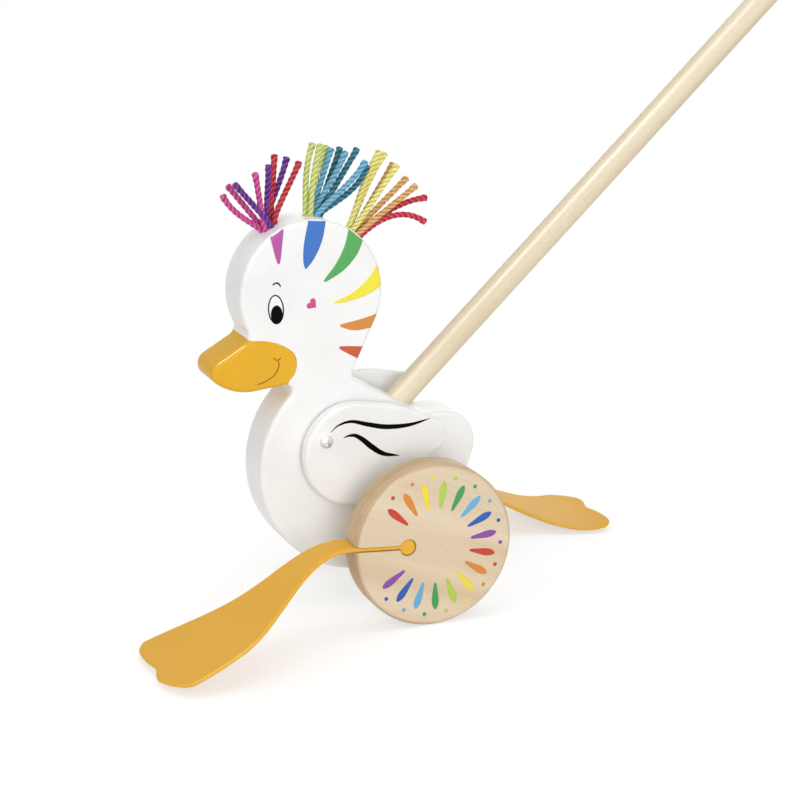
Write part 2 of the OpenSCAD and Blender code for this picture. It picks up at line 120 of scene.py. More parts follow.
def rounded_board(outline, half, edge, rounds=8):
    """Rings of a plate between y = -half and half. Each ring is the outline moved in along its normals by
    edge (1 - sin t) at a height of half - edge (1 - cos t), and one more lies just inside on each flat face."""
    t = np.radians(np.linspace(0, 90, rounds + 1))
    inset, drop = np.r_[edge + flat_ring, edge * (1 - np.sin(t))], np.r_[0.0, edge * (1 - np.cos(t))]
    level = np.r_[drop - half, (half - drop)[::-1]][:, None]
    flat = outline[:, :2] - np.r_[inset, inset[::-1]][:, None, None] * polar(outline[:, 2])
    return np.stack([flat[..., 0], np.broadcast_to(level, flat.shape[:2]), flat[..., 1]], -1)


def mesh_piece(name, points, faces, uv=None, crease=None):
    """Smooth object at the origin from points in millimetres. uv holds one pair for each point, and edges
    sharper than crease degrees stay sharp."""
    mesh = bpy.data.meshes.new(name)
    mesh.from_pydata((np.asarray(points, float).reshape(-1, 3) * mm).tolist(), [], faces)
    mesh.polygons.foreach_set("use_smooth", np.ones(len(mesh.polygons), bool))
    if uv is not None:
        corner = np.empty(len(mesh.loops), np.int32)
        mesh.loops.foreach_get("vertex_index", corner)
        layer = mesh.uv_layers.new(name="run")
        layer.data.foreach_set("uv", np.asarray(uv, np.float32).reshape(-1, 2)[corner].ravel())
    if crease is not None:
        mesh.set_sharp_from_angle(angle=np.radians(crease))
    piece = bpy.data.objects.new(name, mesh)
    bpy.context.scene.collection.objects.link(piece)
    return piece


def fit(piece, material, body, *nodes, slot=None):
    """Gives a piece its finish, the body that carries it and the CAD nodes that it stands for."""
    piece.data.materials.append(material)
    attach(piece, body)
    if nodes:
        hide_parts(*nodes)


def srgb(r, g, b):
    """Linear colour of a screen colour from 0 to 255."""
    c = np.array([r, g, b]) / 255.0
    return (*np.where(c <= 0.04045, c / 12.92, ((c + 0.055) / 1.055) ** 2.4).tolist(), 1.0)


def node_group(name, inputs, outputs):
    """Empty shader group with named sockets, given as (name, kind) pairs."""
    group = bpy.data.node_groups.new(name, "ShaderNodeTree")
    for label, kind in inputs:
        group.interface.new_socket(label, in_out="INPUT", socket_type="NodeSocket" + kind)
    for label, kind in outputs:
        group.interface.new_socket(label, in_out="OUTPUT", socket_type="NodeSocket" + kind)
    return group, group.nodes.new("NodeGroupInput"), group.nodes.new("NodeGroupOutput")


def add(tree, kind, settings=(), links=(), **values):
    """One node: settings on the node, values on its sockets, and links into its sockets from others."""
    node = tree.nodes.new("ShaderNode" + kind)
    for key, value in dict(settings).items():
        setattr(node, key, value)
    for key, value in values.items():
        node.inputs[key.replace("_", " ")].default_value = value
    for key, source in dict(links).items():
        tree.links.new(source, node.inputs[key])
    return node


def scaled(tree, place, x, y, z):
    """A place stretched along its three axes, so that a texture is drawn out or packed together."""
    node = add(tree, "VectorMath", {"operation": "MULTIPLY"}, {0: place})
    node.inputs[1].default_value = (x, y, z)
    return node.outputs[0]


def noise(tree, place, scale, detail, distortion=0.0):
    """Smooth random value at a place, with finer octaves up to detail added to it."""
    node = add(tree, "TexNoise", links={"Vector": place}, Scale=scale, Detail=detail, Distortion=distortion)
    return node.outputs["Fac"]


def ramp(tree, value, low, high, to_low=0.0, to_high=1.0):
    """A value carried from one range to another and held at both ends."""
    node = add(tree, "MapRange", links={"Value": value}, From_Min=low, From_Max=high, To_Min=to_low, To_Max=to_high)
    return node.outputs["Result"]


def blend_colours(tree, share, first, second, how="MIX"):
    """Colour between two sockets or plain colours, by a share."""
    node = tree.nodes.new("ShaderNodeMix")
    node.data_type, node.blend_type = "RGBA", how
    for socket, value in ((node.inputs[0], share), (node.inputs[6], first), (node.inputs[7], second)):
        if isinstance(value, bpy.types.NodeSocket):
            tree.links.new(value, socket)
        else:
            socket.default_value = value
    return node.outputs[2]


def blank_material(name):
    """New material with its tree, its shader and the Object coordinates of the piece."""
    material = bpy.data.materials.new(name)
    material.use_nodes = True
    tree = material.node_tree
    return material, tree, tree.nodes["Principled BSDF"], tree.nodes.new("ShaderNodeTexCoord").outputs["Object"]


# Sprayed paint: a slight drift of the tint over some centimetres, and a fine orange-peel skin.
paint_skin, given, made = node_group(
    "paint_skin",
    [("Place", "Vector"), ("Colour", "Color"), ("Shade", "Color"), ("Gloss", "Float")],
    [("Colour", "Color"), ("Roughness", "Float"), ("Height", "Float")],
)
drift = noise(paint_skin, given.outputs["Place"], 34.0, 3.0)
peel = noise(paint_skin, given.outputs["Place"], 620.0, 2.0)
shaded = ramp(paint_skin, drift, 0.35, 0.7)
tint = blend_colours(paint_skin, shaded, given.outputs["Colour"], given.outputs["Shade"])
rub = add(paint_skin, "Math", {"operation": "MULTIPLY_ADD"}, {0: drift, 2: given.outputs["Gloss"]})
rub.inputs[1].default_value = 0.16
paint_skin.links.new(tint, made.inputs["Colour"])
paint_skin.links.new(rub.outputs[0], made.inputs["Roughness"])
paint_skin.links.new(peel, made.inputs["Height"])


def painted(name, tone, gloss=0.28, shine=0.3, coat=0.05):
    """Satin paint or ink of a screen colour with the sprayed skin, a little darker where it drifts."""
    material, tree, shader, place = blank_material(name)
    skin = tree.nodes.new("ShaderNodeGroup")
    skin.node_tree = paint_skin
    tree.links.new(place, skin.inputs["Place"])
    skin.inputs["Colour"].default_value = srgb(*tone)
    skin.inputs["Shade"].default_value = srgb(*(0.965 * np.array(tone)))
    skin.inputs["Gloss"].default_value = gloss
    bump = add(tree, "Bump", links={"Height": skin.outputs["Height"]}, Strength=0.25, Distance=0.00002)
    tree.links.new(skin.outputs["Colour"], shader.inputs["Base Color"])
    tree.links.new(skin.outputs["Roughness"], shader.inputs["Roughness"])
    tree.links.new(bump.outputs["Normal"], shader.inputs["Normal"])
    shader.inputs["Specular IOR Level"].default_value = shine
    shader.inputs["Coat Weight"].default_value = coat
    shader.inputs["Coat Roughness"].default_value = 0.2
    return material


body_outline = belt(
    [
        (*breast_at, breast_r),
        (*chin_at, -chin_r),
        (*beak_at, beak_r),
        (*beak_tip_at, beak_tip_r),
        (*root_at, -root_r),
        (*head_at, head_r),
        (*nape_at, -nape_r),
        (*saddle_at, -saddle_r),
        (*tail_at, tail_r),
    ],
    arc_step,
)
white_paint = painted("white_paint", (243, 243, 242))
board = rounded_board(body_outline, board_half, board_edge)
fit(mesh_piece("duck_board", board, ring_shell(board)), white_paint, "duck", "body", slot="white_paint")

# Beak paint.
# The beak is masked and sprayed warm yellow over both faces and the whole front edge,
# with a soft oval border on each cheek.
film_lift, film_skin = 0.06, 0.05
rim_steps, edge_steps = 140, 10
paint_start, paint_end = 105.6, 202.0


def film(name, grids, facing, body, material):
    """Thin film of paint from grids of points that stand clear of the surface, turned to face outwards."""
    points, faces = [], []
    for grid in grids:
        step = np.cross(grid[:-1, 1:] - grid[:-1, :-1], grid[1:, :-1] - grid[:-1, :-1]).sum((0, 1))
        way = 1 if step @ np.array(facing, float) > 0 else -1
        start = sum(len(p) for p in points)
        faces += [[start + k for k in f[::way]] for f in grid_faces(*grid.shape[:2])]
        points.append(grid.reshape(-1, 3))
    piece = mesh_piece(name, np.concatenate(points), faces)
    work = bmesh.new()
    work.from_mesh(piece.data)
    bmesh.ops.remove_doubles(work, verts=work.verts, dist=0.000004)
    work.to_mesh(piece.data)
    work.free()
    skin = piece.modifiers.new("film", "SOLIDIFY")
    skin.thickness, skin.offset = film_skin * mm, -1.0
    fit(piece, material, body)


def along(points, count):
    """Smooth curve through points: a Catmull-Rom run, spaced evenly along its length."""
    p = np.asarray(points, float)
    p = np.vstack([2 * p[0] - p[1], p, 2 * p[-1] - p[-2]])
    t = np.linspace(0, len(p) - 3, 600)
    i = np.minimum(t.astype(int), len(p) - 4)
    t = (t - i)[:, None]
    a, b, c, d = p[i], p[i + 1], p[i + 2], p[i + 3]
    curve = 2 * b + (c - a) * t + (2 * a - 5 * b + 4 * c - d) * t**2 + (3 * b - a - 3 * c + d) * t**3
    return evenly(0.5 * curve, count)


def evenly(rows, count):
    """Rows of a line, spaced evenly along its first two columns."""
    run = np.r_[0, np.cumsum(np.hypot(*np.diff(rows[:, :2], axis=0).T))]
    return np.stack([np.interp(np.linspace(0, run[-1], count), run, column) for column in rows.T], -1)


def nearest(outline, place):
    """Number of the outline's point that is closest to a place."""
    return np.hypot(*(outline[:, :2] - place).T).argmin()


first = nearest(body_outline, chin_at + chin_r * polar(paint_start))
last = nearest(body_outline, root_at + root_r * polar(paint_end))
beak_rim = evenly(body_outline[first : last + 1], rim_steps)
rim_way = polar(beak_rim[:, 2])
flat_rim = beak_rim[:, :2] - board_edge * rim_way
cheek_line = [(51.8, 113.8), (50.8, 118.6), (51.7, 122.4), (54.4, 125.4), (59.6, 128.2), (65.6, 130.0)]
border = along([flat_rim[0], *cheek_line, flat_rim[-1]], rim_steps)
share = np.linspace(0, 1, 25)[:-1, None]
cheek = border[:, None] + share * (flat_rim - border)[:, None]
cheek = np.stack([cheek[..., 0], np.full(cheek.shape[:2], board_half + film_lift), cheek[..., 1]], -1)
t = np.radians(np.linspace(0, 90, edge_steps))
bend = flat_rim[:, None] + ((board_edge + film_lift) * np.sin(t))[:, None] * rim_way[:, None]
level = board_half - board_edge + (board_edge + film_lift) * np.cos(t)
bend = np.stack([bend[..., 0], np.broadcast_to(level, bend.shape[:2]), bend[..., 1]], -1)
half_beak = np.concatenate([cheek, bend], axis=1)
whole_beak = np.concatenate([half_beak, (half_beak * [1, -1, 1])[:, ::-1]], axis=1)
beak_yellow = painted("beak_yellow", (230, 177, 52), gloss=0.2, shine=0.03, coat=0.1)
film("beak_paint", [whole_beak], (1, 0, 0), "duck", beak_yellow)

# Printed face.
# Eye, brow, smile and a small heart are pad printed on both faces of the head and beak.
# Each is a thin film of ink, and where two lie over each other the later one stands higher.


def ink(name, tone, shine=0.2):
    """Printing ink, matt where its shine is low."""
    return painted(name, tone, gloss=0.18, shine=shine, coat=0.0)


ink_black = ink("ink_black", (6, 6, 6), 0.04)
ink_white = ink("ink_white", (246, 246, 246))


def on_board(outline, flat, half, edge, lift):
    """Places flat points on a board's face, clear of it by lift along the surface's normal. Within edge of
    the outline the face falls away on a quarter circle."""
    a = outline[:, :2]
    step = np.roll(a, -1, axis=0) - a
    p = flat[..., None, :] - a
    off = p - np.clip((p * step).sum(-1) / (step**2).sum(-1), 0, 1)[..., None] * step
    far = np.linalg.norm(off, axis=-1)
    closest = far.argmin(-1)[..., None]
    depth = np.take_along_axis(far, closest, -1)
    inward = np.take_along_axis(off, closest[..., None], -2)[..., 0, :] / np.maximum(depth, 1e-6)
    lean = np.clip(1 - depth / edge, 0, 1)
    moved = flat - lift * lean * inward
    y = half - edge + (edge + lift) * np.sqrt(1 - lean[..., 0] ** 2)
    return np.stack([moved[..., 0], y, moved[..., 1]], -1)


def print_both(name, flat, material, lift=film_lift):
    """The same flat shape on the left face and, mirrored, on the right face of the body board."""
    left = on_board(body_outline, flat, board_half, board_edge, lift)
    film(name + "_left", [left], (0, 1, 0), "duck", material)
    film(name + "_right", [left * [1, -1, 1]], (0, -1, 0), "duck", material)


def ribbon(points, width, taper=0.0, swell=0.0, count=60):
    """Stroke along a smooth curve with rounded ends. Its width falls by taper towards both ends,
    and swell moves the widest place towards the second end."""
    line = along(points, count)
    t = np.linspace(0, 1, count)
    ahead = np.gradient(line, axis=0)
    sideways = np.stack([-ahead[:, 1], ahead[:, 0]], -1) / np.linalg.norm(ahead, axis=1)[:, None]
    half = 0.5 * width * np.sqrt(1 - (2 * t - 1) ** 8) * (1 - taper + taper * np.sin(np.pi * t ** (1 + swell)))
    return line[:, None] + (half[:, None] * np.linspace(-1, 1, 7))[..., None] * sideways[:, None]


def oval(centre, rx, rz, line=None, lean=0.0, count=72):
    """Ellipse that leans from upright, as a full disc or as a line of even width along its rim."""
    a, r = np.meshgrid(np.linspace(0, 2 * np.pi, count), np.linspace(0, 1, 8), indexing="ij")
    wide, high = (rx * r, rz * r) if line is None else (rx - line * (1 - r), rz - line * (1 - r))
    x, z = wide * np.cos(a), high * np.sin(a)
    c, s = np.cos(np.radians(lean)), np.sin(np.radians(lean))
    return np.array(centre) + np.stack([c * x + s * z, c * z - s * x], -1)


def heart(centre, size, lean, count=90):
    """Heart curve x = 16 sin^3 a, z = 13 cos a - 5 cos 2a - 2 cos 3a - cos 4a, filled from its middle."""
    a, r = np.meshgrid(np.linspace(0, 2 * np.pi, count), np.linspace(0, 1, 8), indexing="ij")
    x = size / 32 * r * 16 * np.sin(a) ** 3
    z = size / 32 * r * (13 * np.cos(a) - 5 * np.cos(2 * a) - 2 * np.cos(3 * a) - np.cos(4 * a) + 2)
    c, s = np.cos(np.radians(lean)), np.sin(np.radians(lean))
    return np.array(centre) + np.stack([c * x + s * z, c * z - s * x], -1)


eye_at, pupil_at = (60.3, 144.0), (60.0, 141.6)
brow_line = [(61.7, 155.0), (60.8, 155.8), (59.6, 156.0), (58.6, 155.3), (57.9, 154.1)]
smile_line = [(59.7, 120.7), (59.3, 118.6), (60.2, 115.9), (62.2, 113.5), (65.6, 111.5), (70.0, 110.3)]
tick_line = [(61.9, 122.2), (60.9, 121.1), (59.7, 120.8), (58.2, 121.9)]
print_both("eye_white", oval(eye_at, 3.6, 6.6, lean=4.0), ink_white, 0.05)
print_both("eye_rim", oval(eye_at, 3.75, 6.75, line=0.6, lean=4.0), ink_black, 0.08)
print_both("eye_pupil", oval(pupil_at, 2.75, 4.3, lean=2.0), ink_black, 0.11)
print_both("brow", ribbon(brow_line, 0.65), ink_black)
smile_ink = ink("ink_smile", (172, 104, 28))
print_both("smile", ribbon(smile_line, 0.6), smile_ink, 0.12)
print_both("smile_tick", ribbon(tick_line, 0.6), smile_ink, 0.12)
print_both("cheek_heart", heart((43.0, 144.8), 5.2, 50.0), ink("ink_pink", (206, 84, 142)))

# Printed stripes.
# Tapered colour stripes start over the rounded edge of the head and neck and end in a soft point.
# Each has a front and a rear border, from the board's edge to the point.
stripes = {
    "violet": ((183, 90, 164), [(62.4, 176.6), (60.7, 169.6), (59.3, 164.4)],
               [(56.1, 180.1), (56.8, 173.8), (58.0, 164.3)]),
    "blue": ((70, 122, 200), [(44.6, 182.8), (46.7, 173.0), (47.2, 165.6), (46.7, 161.4)],
             [(36.3, 182.1), (38.3, 173.2), (41.9, 165.9), (45.7, 161.0)]),
    "green": ((92, 172, 96), [(25.6, 177.9), (27.7, 170.1), (32.1, 162.1), (38.0, 155.2)],
              [(18.7, 172.2), (21.8, 165.9), (27.8, 159.5), (37.1, 154.2)]),
    "yellow": ((241, 229, 74), [(11.8, 160.9), (17.0, 154.1), (25.5, 147.9), (33.1, 145.3)],
               [(9.8, 150.9), (16.7, 147.2), (25.5, 144.9), (32.9, 144.2)]),
    "orange": ((214, 142, 72), [(11.9, 138.1), (20.7, 136.0), (30.3, 134.5)],
               [(14.8, 131.7), (23.2, 131.2), (30.1, 133.4)]),
    "red": ((202, 96, 66), [(18.8, 123.3), (25.6, 124.1), (30.5, 124.4)],
            [(21.4, 117.8), (26.4, 120.7), (30.6, 123.3)]),
}
stripe_steps, tip_power = 60, 24
for colour, (tone, front_border, rear_border) in stripes.items():
    front, rear = along(front_border, stripe_steps), along(rear_border, stripe_steps)
    soft_tip = np.sqrt(1 - np.linspace(0, 1, stripe_steps) ** tip_power)[:, None, None]
    spread = soft_tip * np.linspace(-0.5, 0.5, 13)[:, None] * (front - rear)[:, None]
    print_both("stripe_" + colour, (front + rear)[:, None] / 2 + spread, ink("ink_" + colour, tone))

# Push stick.
# A plain beech dowel, sanded and lightly oiled, screwed into the duck's back with a stud
# and a brass insert that stay hidden. Its grain runs along it.
stick_slope = np.radians(43.6)
stick_r, stick_edge = 6.0, 3.0
stick_seat, stick_len = 24.0, 500.0
stick_mouth = breast_at + [-19.5, 25.1]

# Beech: pale growth bands drawn out along the grain, fine fibres and a few short darker pores.
beech_grain, given, made = node_group(
    "beech_grain",
    [("Along", "Vector"), ("Pale", "Color"), ("Deep", "Color")],
    [("Colour", "Color"), ("Roughness", "Float"), ("Height", "Float")],
)
lie = given.outputs["Along"]
bands = noise(beech_grain, scaled(beech_grain, lie, 5.0, 75.0, 75.0), 1.0, 5.0, 0.5)
fibres = noise(beech_grain, scaled(beech_grain, lie, 24.0, 900.0, 900.0), 1.0, 3.0)
pores = noise(beech_grain, scaled(beech_grain, lie, 230.0, 1900.0, 1900.0), 1.0, 1.0)
pore_mask = ramp(beech_grain, pores, 0.62, 0.74, 0.0, 0.13)
tone = blend_colours(beech_grain, ramp(beech_grain, bands, 0.36, 0.68), given.outputs["Pale"], given.outputs["Deep"])
tone = blend_colours(beech_grain, ramp(beech_grain, fibres, 0.3, 0.75, 0.0, 0.3), tone, given.outputs["Deep"])
tone = blend_colours(beech_grain, pore_mask, tone, srgb(140, 104, 66))
relief = add(beech_grain, "Math", {"operation": "SUBTRACT"}, {0: fibres, 1: pore_mask})
beech_grain.links.new(tone, made.inputs["Colour"])
beech_grain.links.new(ramp(beech_grain, fibres, 0.0, 1.0, 0.32, 0.52), made.inputs["Roughness"])
beech_grain.links.new(relief.outputs[0], made.inputs["Height"])


def beech(name, pale, deep, turn=(0.0, 0.0, 0.0), end_grain=False):
    """Oiled beech whose grain follows X of the turned Object coordinates. With end grain, the colour
    darkens in thin layers along Y where the piece's rim attribute is 1."""
    material, tree, shader, place = blank_material(name)
    turned_place = add(tree, "Mapping", links={"Vector": place}, Rotation=turn)
    grain = tree.nodes.new("ShaderNodeGroup")
    grain.node_tree = beech_grain
    tree.links.new(turned_place.outputs["Vector"], grain.inputs["Along"])
    grain.inputs["Pale"].default_value, grain.inputs["Deep"].default_value = srgb(*pale), srgb(*deep)
    colour = grain.outputs["Colour"]
    if end_grain:
        layers = noise(tree, scaled(tree, place, 30.0, 1300.0, 30.0), 1.0, 5.0, 0.2)
        layer_tone = blend_colours(tree, ramp(tree, layers, 0.34, 0.7), srgb(247, 240, 230), srgb(216, 196, 170))
        rim = add(tree, "Attribute", {"attribute_name": "rim"}).outputs["Fac"]
        colour = blend_colours(tree, rim, colour, layer_tone, "MULTIPLY")
    bump = add(tree, "Bump", links={"Height": grain.outputs["Height"]}, Strength=0.3, Distance=0.00008)
    tree.links.new(colour, shader.inputs["Base Color"])
    tree.links.new(grain.outputs["Roughness"], shader.inputs["Roughness"])
    tree.links.new(bump.outputs["Normal"], shader.inputs["Normal"])
    shader.inputs["Specular IOR Level"].default_value = 0.2
    return material


def close_up(piece):
    """Merges the points that meet at seams and poles, and turns all faces outwards."""
    work = bmesh.new()
    work.from_mesh(piece.data)
    bmesh.ops.remove_doubles(work, verts=work.verts, dist=0.000001)
    bmesh.ops.recalc_face_normals(work, faces=work.faces)
    work.to_mesh(piece.data)
    work.free()
    return piece


def turned(name, profile, origin, axis, start, count=96):
    """Surface of revolution: profile rows are (radius, length), carried round the axis from start."""
    axis, start = np.array(axis, float), np.array(start, float)
    a = np.linspace(0, 2 * np.pi, count, endpoint=False)[:, None]
    ring = np.cos(a) * start + np.sin(a) * np.cross(axis, start)
    profile = np.asarray(profile, float)
    points = np.array(origin) + profile[:, :1, None] * ring + (profile[:, 1:] * axis)[:, None]
    return close_up(mesh_piece(name, points, grid_faces(len(profile), count, round_columns=True)))


def quarter_round(radius, length, edge, way, count=10):
    """Rounded end of a turned piece as (radius, length) rows from the axis outwards."""
    t = np.radians(np.linspace(90, 0, count))
    return np.c_[radius - edge + edge * np.cos(t), length + way * (edge * np.sin(t) - edge)]


stick_axis = np.array([-np.cos(stick_slope), 0.0, np.sin(stick_slope)])
stick_wall = np.linspace(stick_edge, stick_len - stick_edge, 60)[1:-1]
stick_profile = np.vstack([
    [(0.0, 0.0)],
    quarter_round(stick_r, 0.0, stick_edge, -1),
    np.c_[np.full(len(stick_wall), stick_r), stick_wall],
    quarter_round(stick_r, stick_len, stick_edge, 1)[::-1],
    [(0.0, stick_len)],
])
stick_foot = np.array([stick_mouth[0], 0.0, stick_mouth[1]]) - stick_seat * stick_axis
stick = turned("push_stick", stick_profile, stick_foot, stick_axis, (0.0, 1.0, 0.0))
stick_wood = beech("stick_beech", (231, 219, 193), (216, 199, 166), (0.0, -stick_slope, 0.0))
fit(stick, stick_wood, "duck", "stick", slot="beech")


def metal(name, colour, roughness, scuffs):
    """Bare metal with a mottled shine."""
    material, tree, shader, place = blank_material(name)
    scuff = noise(tree, place, scuffs, 4.0)
    worn = blend_colours(tree, scuff, srgb(*colour), srgb(*(0.9 * np.array(colour))))
    tree.links.new(worn, shader.inputs["Base Color"])
    tree.links.new(ramp(tree, scuff, 0.0, 1.0, roughness, roughness + 0.2), shader.inputs["Roughness"])
    shader.inputs["Metallic"].default_value = 1.0
    return material


def dress(node, material):
    """Gives a carried-over CAD piece one finished material."""
    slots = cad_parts[node].data.materials
    slots.clear()
    slots.append(material)


steel = metal("screw_steel", (226, 226, 226), 0.26, 1400.0)
dress("stick_stud", steel)
dress("stick_insert", metal("insert_brass", (220, 186, 124), 0.25, 900.0))

# Wings.
# Two thin boards cut alike, rounded over and painted white, each loose on one screw through its
# broad front end, with a thin nylon washer behind it. Two brush strokes mark the feathers.
wing_half, wing_edge, wing_middle = 3.5, 1.8, 16.7
pivot_at = breast_at + [22.2, 15.3]
wing_front = np.array([-14.0, -7.7])
wing_back, wing_tail = wing_front - [10.2, 23.3], wing_front + [-37.2, 4.7]
wing_outline = belt([(*wing_front, 24.1), (*wing_back, 45.5), (*wing_tail, 8.3)], arc_step)
upper_stroke = [(38.2, 86.7), (34.0, 89.8), (27.7, 90.9), (19.5, 88.6), (10.6, 86.6), (-0.6, 86.4), (-11.0, 88.4)]
lower_stroke = [(32.0, 83.5), (29.4, 84.3), (26.0, 84.1), (22.2, 81.6), (18.2, 78.0), (12.3, 74.0), (4.2, 72.2)]


def wing(side, lift):
    """Rounded board turned about its screw by lift, tail end up, with its two brush strokes."""
    label = "left" if side > 0 else "right"
    c, s = np.cos(np.radians(lift)), np.sin(np.radians(lift))

    def place(points):
        """Turns points about the screw and moves them out to the wing's side."""
        x, y, z = np.moveaxis(points, -1, 0)
        return np.stack([pivot_at[0] + c * x + s * z, y + side * wing_middle, pivot_at[1] + c * z - s * x], -1)

    rings = rounded_board(wing_outline, wing_half, wing_edge, 6)
    board = mesh_piece("wing_board_" + label, place(rings), ring_shell(rings))
    fit(board, white_paint, label + "_wing", "wing_" + label, slot="white_paint")
    for stroke, line, width, swell in (("upper", upper_stroke, 2.3, 0.15), ("lower", lower_stroke, 2.6, 0.0)):
        flat = ribbon(np.array(line) - pivot_at, width, 0.8, swell, 90)
        shape = np.stack([flat[..., 0], np.full(flat.shape[:2], side * (wing_half + film_lift)), flat[..., 1]], -1)
        film(f"feather_{stroke}_{label}", [place(shape)], (0, side, 0), label + "_wing", ink_black)


wing(1, 0.0)
wing(-1, 16.0)

# Wing screws.
# Small zinc-plated pan-head screws with a cross recess hold the wings. Each runs through its wing and
# washer into the board, and is left loose enough for the wing to swing.
head_under, head_high, head_wide = 20.4, 1.8, 3.0
shank_r, shank_end = 1.74, 4.4
recess_half, recess_reach, recess_deep, recess_slope = 0.34, 1.6, 0.85, 0.16
a, r = np.meshgrid(np.linspace(0, 2 * np.pi, 144, endpoint=False), np.linspace(0, 1, 48), indexing="ij")
x, z = head_wide * r * np.cos(a), head_wide * r * np.sin(a)
cross = np.maximum(np.minimum(np.abs(x), np.abs(z)) - recess_half, np.hypot(x, z) - recess_reach)
dome = head_high * (1 - 0.30 * r**2 - 0.45 * r**9) - recess_deep * np.clip(0.5 - cross / recess_slope, 0, 1)
around = np.stack([np.cos(a[:, :1]), 0 * a[:, :1], np.sin(a[:, :1])], -1)
below = [(head_wide, head_under), (shank_r, head_under), (shank_r, shank_end), (0.0, shank_end)]
under = [radius * around + [0, y, 0] for radius, y in below]
screw_shape = np.concatenate([np.stack([x, dome + head_under, z], -1), *under], axis=1)
for side, label in ((1, "left"), (-1, "right")):
    points = screw_shape * [1, side, 1] + [pivot_at[0], 0, pivot_at[1]]
    screw = mesh_piece("wing_screw_" + label, points, grid_faces(*points.shape[:2], round_rows=True))
    close_up(screw).data.set_sharp_from_angle(angle=np.radians(50))
    fit(screw, steel, "duck", "wing_screw_" + label, slot="screw_steel")
nylon = painted("washer_nylon", (232, 231, 226), gloss=0.4, shine=0.3, coat=0.0)
dress("wing_washer_left", nylon)
dress("wing_washer_right", nylon)

# Axle and spacer tubes.
# A beech dowel runs through the board and is glued into both wheels; a turned tube on each
# side keeps the wheels clear of the wings.
axle_wood = beech("axle_beech", (230, 211, 180), (214, 190, 152), (0.0, 0.0, np.pi / 2))
dress("axle", axle_wood)
wheel_in, wheel_out = 36.7, 52.2
tube_in, tube_bore, tube_r, tube_edge = 12.3, 4.05, 6.5, 0.5
tube_profile = np.vstack([
    [(tube_bore, tube_in)],
    quarter_round(tube_r, tube_in, tube_edge, -1, 6),
    quarter_round(tube_r, wheel_in, tube_edge, 1, 6)[::-1],
    [(tube_bore, wheel_in), (tube_bore, tube_in)],
])
for side, label in ((1, "left"), (-1, "right")):
    tube = turned("spacer_tube_" + label, tube_profile, (0, 0, axle_at[1]), (0, side, 0), (1, 0, 0), 72)
    tube.data.set_sharp_from_angle(angle=np.radians(50))
    fit(tube, axle_wood, "wheel_set", "axle_spacer_" + label, slot="beech")

# Wheels.
# Beech discs with rounded rims. A keyhole and a slot to the rim are sawn in each, and the foot's
# bead is pushed in from the side. Plain colour rays and dots are printed on the outer faces.
wheel_r, wheel_edge, wheel_turn = 38.0, 2.4, 4.0
key_x, key_r, slot_half, slot_ease = 13.0, 3.95, 1.15, 0.3
streak_in, streak_fade = 0.7 * wheel_edge, 0.5 * wheel_edge
t = np.radians(np.linspace(0, 90, 9))
inset = np.r_[wheel_edge + flat_ring, wheel_edge * (1 - np.sin(t))]
drop = np.r_[0.0, wheel_edge * (1 - np.cos(t))]
level = np.r_[wheel_in + drop, (wheel_out - drop)[::-1]]
radius = wheel_r - np.r_[inset, inset[::-1]][:, None]
ease_off = np.where(np.isin(np.arange(len(level)), (0, len(level) - 1)), slot_ease, 0.0)[:, None]
slot, key = slot_half + ease_off, key_r + ease_off
mouth, throat = np.degrees(np.arcsin(slot / radius)), np.degrees(np.arcsin(slot / key))
rim_run = mouth + (360 - 2 * mouth) * np.linspace(0, 1, 261)
key_run = 360 - throat - (360 - 2 * throat) * np.linspace(0, 1, 61)
lip_out, lip_in = radius * np.cos(np.radians(mouth)), key_x + key * np.cos(np.radians(throat))
lip_x = lip_out + (lip_in - lip_out) * np.linspace(0, 1, 12)[1:-1]
lower_lip = np.stack([lip_x, np.broadcast_to(-slot, lip_x.shape)], -1)
key_line = np.array([key_x, 0.0]) + key[..., None] * polar(key_run)
upper_lip = (lower_lip * [1, -1])[:, ::-1]
disc = np.concatenate([radius[..., None] * polar(rim_run), lower_lip, key_line, upper_lip], axis=1)
disc = np.stack([disc[..., 0], np.broadcast_to(level[:, None], disc.shape[:2]), disc[..., 1]], -1)
wheel_wood = beech("wheel_beech", (225, 208, 181), (209, 187, 155), (0.0, 0.35, 0.0), end_grain=True)


def at_wheel(points, side):
    """Places a wheel drawn about its own axle: the right one is the left turned half round the upright,
    and both are turned so that the front slot rises."""
    x, y, z = np.moveaxis(points * [side, side, 1], -1, 0)
    c, s = np.cos(np.radians(wheel_turn)), np.sin(np.radians(wheel_turn))
    return np.stack([c * x - s * z, y, s * x + c * z + axle_at[1]], -1)


def on_wheel(flat):
    """Lifts flat points about the axle just clear of the wheel's outer face."""
    return np.stack([flat[..., 0], np.full(flat.shape[:2], wheel_out + film_lift), flat[..., 1]], -1)


